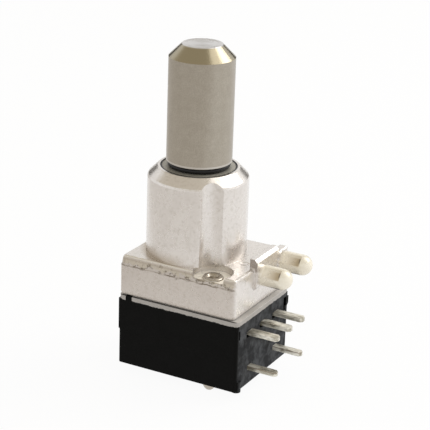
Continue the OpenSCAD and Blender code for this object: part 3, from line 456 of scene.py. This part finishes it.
laminate, tree, shader, place = new_finish("phenolic laminate")
axes = add(tree, "SeparateXYZ", {0: place}).outputs
along_fibres = add(tree, "Mapping", {"Vector": place, "Scale": (1 / 4, 1, 1)})
fibres = add(tree, "TexNoise", {"Vector": along_fibres, "Scale": 1 / (0.15 * MM), "Detail": 3.0})
sheet = add(tree, "Mix", {"data_type": "RGBA", 0: fibres, 6: "#5c3a20", 7: "#7f5430"})
track_z = -4.89 * MM
printed = add(tree, "Math", {"operation": "GREATER_THAN", 0: axes["Z"], 1: track_z})
colour = add(tree, "Mix", {"data_type": "RGBA", 0: printed, 6: sheet, 7: "#1b1a19"})
raised = add(tree, "Bump", {"Strength": 0.3, "Distance": 0.01 * MM, "Height": fibres})
feed(shader, {"Base Color": colour, "Roughness": 0.4, "Normal": raised})
coat(laminate, "resistor_wafer")

# Black mouldings
# The terminal block and the switch case are moulded from glass-filled black plastic, matt and
# grainy. The terminal face is painted a lighter slate grey in clouds: partly blotches in the skin,
# partly painted light for the side that faces the lamps.

black_plastic, tree, shader, place = new_finish("black glass-filled plastic")
axes = add(tree, "SeparateXYZ", {0: place}).outputs
flecks = add(tree, "TexNoise",
             {"Vector": place, "Scale": 1 / (0.14 * MM), "Detail": 4.0, "Roughness": 0.7})
clouds = add(tree, "TexNoise",
             {"Vector": place, "Scale": 1 / (1.1 * MM), "Detail": 5.0, "Roughness": 0.65})
skin = add(tree, "Mix", {"data_type": "RGBA", 0: flecks, 6: "#030303", 7: "#161615"})
# Painted light: the terminal face is lightened in slate-grey clouds
cloud_tone = add(tree, "MapRange", {0: clouds, 1: 0.4, 2: 0.62, 3: 0, 4: 1})
lit_face_tone = add(tree, "Mix", {"data_type": "RGBA", 0: cloud_tone, 6: "#202123", 7: "#4e5053"})
terminal_face_x = 7.2 * MM
on_terminal_face = add(tree, "MapRange", {0: axes["X"], 1: terminal_face_x - 0.07 * MM,
                                          2: terminal_face_x - 0.02 * MM, 3: 0, 4: 1})
inside_edge = add(tree, "Math", {"operation": "ABSOLUTE", 0: axes["Y"]})
half_width = 5.08 * MM
inside_edge = add(tree, "MapRange", {0: inside_edge, 1: half_width - 0.48 * MM,
                                     2: half_width - 0.23 * MM, 3: 1, 4: 0})
lit_terminal_face = add(tree, "Math", {"operation": "MULTIPLY", 0: on_terminal_face, 1: inside_edge})
colour = add(tree, "Mix", {"data_type": "RGBA", 0: lit_terminal_face, 6: skin, 7: lit_face_tone})
eased = add(tree, "Bevel", {"samples": 6, "Radius": 0.06 * MM})
raised = add(tree, "Bump",
             {"Strength": 0.5, "Distance": 0.012 * MM, "Height": flecks, "Normal": eased})
matt = add(tree, "MapRange", {0: clouds, 1: 0.3, 2: 0.7, 3: 0.48, 4: 0.62})
feed(shader,
     {"Base Color": colour, "Roughness": matt, "Specular IOR Level": 0.05, "Normal": raised})
coat(black_plastic, "terminal_block", "switch_case")

# Terminals
# Brass strip, blanked and dipped in tin. The tin rounds the edges and runs unevenly, and has
# dulled to a yellowish grey.

tinned, tree, shader, place = new_finish("tin-dipped brass")
along_pin = add(tree, "Mapping", {"Vector": place, "Scale": (1 / 2.5, 1, 1)})
runs = add(tree, "TexNoise", {"Vector": along_pin, "Scale": 1 / (0.35 * MM), "Detail": 3.0})
streaks = add(tree, "MapRange", {0: runs, 1: 0.38, 2: 0.6, 3: 0, 4: 1})
colour = add(tree, "Mix", {"data_type": "RGBA", 0: streaks, 6: "#aaa596", 7: "#f0ede2"})
# A brown line runs along the upper edge of the lower pair
axes = add(tree, "SeparateXYZ", {0: place}).outputs
brown_line_z = -8.94 * MM
brown_line = add(tree, "Math", {"operation": "COMPARE", 0: axes["Z"], 1: brown_line_z, 2: 0.04 * MM})
brown_line = add(tree, "Math", {"operation": "MULTIPLY", 0: brown_line, 1: 0.75})
colour = add(tree, "Mix", {"data_type": "RGBA", 0: brown_line, 6: colour, 7: "#75604d"})
gloss = add(tree, "MapRange", {0: runs, 1: 0.3, 2: 0.7, 3: 0.25, 4: 0.45})
eased = add(tree, "Bevel", {"samples": 6, "Radius": 0.09 * MM})
raised = add(tree, "Bump",
             {"Strength": 0.8, "Distance": 0.05 * MM, "Height": runs, "Normal": eased})
feed(shader, {"Metallic": 0.6, "Base Color": colour, "Roughness": gloss, "Normal": raised})
coat(tinned, "terminal_1", "terminal_2", "terminal_3", "switch_terminal_1", "switch_terminal_2")

# Rivets
# Two plated steel rivets clamp the stack on a diagonal. Each is rolled over in its recess on the
# flange, and has a rounded end below the switch case.

rivet_steel, tree, shader, place = new_finish("plated rivet steel")
scuffs = add(tree, "TexNoise", {"Vector": place, "Scale": 1 / (0.25 * MM), "Detail": 3.0})
colour = add(tree, "Mix", {"data_type": "RGBA", 0: scuffs, 6: "#a39b8f", 7: "#c4bcb0"})
gloss = add(tree, "MapRange", {0: scuffs, 1: 0.3, 2: 0.7, 3: 0.2, 4: 0.34})
raised = add(tree, "Bump", {"Strength": 0.4, "Distance": 0.02 * MM, "Height": scuffs})
feed(shader, {"Metallic": 1.0, "Base Color": colour, "Roughness": gloss, "Normal": raised})
coat(rivet_steel, "front_rivet", "rear_rivet")

# Floor
# A plain white sheet under the part. Seen directly or in metal it is nearly paper white, and it
# keeps the part's shadow. Towards the front and the blind side it falls off into the unlit part
# of the table, which darkens what the sides of the metal mirror.

paper, tree, shader, place = new_finish("white paper")
fibres = add(tree, "TexNoise", {"Vector": place, "Scale": 1 / (0.5 * MM), "Detail": 2.0})
sheet = add(tree, "Mix", {"data_type": "RGBA", 0: fibres, 6: "#f1f1f1", 7: "#f4f4f4"})
# The edge of the lit part: two straight sides, each square to its own direction on the floor
front_way = (-0.15, -0.99, 0)
blind_way = (-0.81, -0.61, 0)
unlit_start = 21 * MM
unlit_end = 36 * MM
forward = add(tree, "VectorMath",
              {"operation": "DOT_PRODUCT", 0: place, 1: front_way}).outputs["Value"]
blindward = add(tree, "VectorMath",
                {"operation": "DOT_PRODUCT", 0: place, 1: blind_way}).outputs["Value"]
outward = add(tree, "Math", {"operation": "MAXIMUM", 0: forward, 1: blindward})
unlit = add(tree, "MapRange",
            {"interpolation_type": "SMOOTHSTEP", 0: outward, 1: unlit_start, 2: unlit_end})
dimmed = add(tree, "Mix", {"data_type": "RGBA", 0: unlit, 6: sheet, 7: "#d6d3d2"})
feed(shader, {"Base Color": dimmed, "Roughness": 0.9, "Specular IOR Level": 0.2})
# Camera and mirror rays meet mostly an even white, which throws no light on matt surfaces
full_share = 0.94
unlit_share = 0.42
paths = add(tree, "LightPath", {}).outputs
shown = add(tree, "Math",
            {"operation": "MAXIMUM", 0: paths["Is Camera Ray"], 1: paths["Is Glossy Ray"]})
shown = add(tree, "Math", {"operation": "MAXIMUM", 0: shown, 1: paths["Is Transmission Ray"]})
lit_part = add(tree, "MapRange", {0: unlit, 3: 1, 4: unlit_share})
glowing = add(tree, "Math", {"operation": "MULTIPLY", 0: shown, 1: lit_part})
glowing = add(tree, "Math", {"operation": "MULTIPLY", 0: glowing, 1: full_share})
glow = add(tree, "Emission", {"Color": "#ffffff", "Strength": 1.0})
lit = add(tree, "MixShader", {0: glowing, 1: shader, 2: glow})
feed(tree.nodes["Material Output"], {"Surface": lit})


def stage_sheet(name, width, height, where, finish):
    """A flat sheet of the stage, turned and placed by a matrix."""
    mesh = bpy.data.meshes.new(name)
    grid = bmesh.new()
    bmesh.ops.create_grid(grid, x_segments=1, y_segments=1, size=0.5)
    bmesh.ops.scale(grid, vec=(width, height, 1), verts=grid.verts)
    bmesh.ops.transform(grid, matrix=where, verts=grid.verts)
    grid.to_mesh(mesh)
    grid.free()
    mesh.materials.append(finish)
    made = bpy.data.objects.new(name, mesh)
    bpy.context.scene.collection.objects.link(made)
    return made


floor_level = Matrix.Translation((0, 0, cad_box[0].z - 0.02 * MM))
stage_sheet("floor", 2.0, 2.0, floor_level, paper)

# Light
# Soft studio light: a large dim soft box high on the right, a smaller and brighter one beside it,
# and a room that is white round the horizon and dim and warm overhead. All sizes are in metres.


def soft_box(name, location, width, height, power):
    """A rectangular area lamp that looks at the middle of the part."""
    lamp = bpy.data.lights.new(name, "AREA")
    lamp.shape = "RECTANGLE"
    lamp.size = width
    lamp.size_y = height
    lamp.energy = power
    made = bpy.data.objects.new(name, lamp)
    made.location = location
    aim = Vector((0, 0, 0.01)) - Vector(location)
    made.rotation_euler = aim.to_track_quat("-Z", "Y").to_euler()
    bpy.context.scene.collection.objects.link(made)


soft_box("high soft box", (0.122, 0.105, 0.193), 0.2, 0.22, 0.16)
soft_box("right soft box", (0.13, 0.15, 0.155), 0.13, 0.13, 0.15)

# Two black flags stand on the floor behind the part and draw the dark lines along its bright
# edges. They are seen only in what shines, and throw no shadow.
black, _, shader, _ = new_finish("black flag")
feed(shader, {"Base Color": "#0c0c0c", "Roughness": 0.9})
flag_width = 0.24
flag_height = 0.16
flag_places = {"right flag": Vector((0, 0.6, 0)), "left flag": Vector((-0.5, 0.335, 0))}
for name, foot in flag_places.items():
    facing = -foot.normalized()
    upwards = Vector((0, 0, 1))
    turn = Matrix((upwards.cross(facing), upwards, facing)).transposed().to_4x4()
    middle = foot + Vector((0, 0, cad_box[0].z + flag_height / 2))
    card = stage_sheet(name, flag_width, flag_height, Matrix.Translation(middle) @ turn, black)
    card.visible_camera = False
    card.visible_diffuse = False
    card.visible_shadow = False

world = bpy.data.worlds.new("studio")
bpy.context.scene.world = world
world.use_nodes = True
tree = world.node_tree
direction = add(tree, "TexCoord", {}).outputs["Generated"]
axes = add(tree, "SeparateXYZ", {0: direction}).outputs
# The ceiling takes over between about 27 and 37 degrees above the horizon
overhead = add(tree, "MapRange",
               {"interpolation_type": "SMOOTHSTEP", 0: axes["Z"], 1: 0.46, 2: 0.6, 3: 0, 4: 1})
room = add(tree, "Mix", {"data_type": "RGBA", 0: overhead, 6: "#ffffff", 7: "#cbc3b3"})
feed(tree.nodes["Background"], {"Color": room, "Strength": 1.0})

# Camera
# Placed from the photograph: direction, roll, distance and lens were fitted to the part's edges.

azimuth = math.radians(28.112)
elevation = math.radians(20.275)
roll = math.radians(1.996)
distance = 147.96 * MM
aim_height = 3 * MM
shift_right = 1.617 * MM
shift_up = 0.332 * MM
back = Vector((math.sin(azimuth) * math.cos(elevation),
               -math.cos(azimuth) * math.cos(elevation), math.sin(elevation)))
level = Vector((math.cos(azimuth), math.sin(azimuth), 0))
upright = back.cross(level)
right = math.cos(roll) * level + math.sin(roll) * upright
up = math.cos(roll) * upright - math.sin(roll) * level
camera_data = bpy.data.cameras.new("camera")
camera_data.sensor_width = 36
camera_data.lens = 135.17
camera_data.clip_start = 0.01
camera_data.clip_end = 10
camera = bpy.data.objects.new("camera", camera_data)
stand = back * distance + right * shift_right + up * shift_up + Vector((0, 0, aim_height))
camera.matrix_world = Matrix.Translation(stand) @ Matrix((right, up, back)).transposed().to_4x4()
bpy.context.scene.collection.objects.link(camera)
bpy.context.scene.camera = camera
bpy.context.scene.view_settings.view_transform = "Standard"
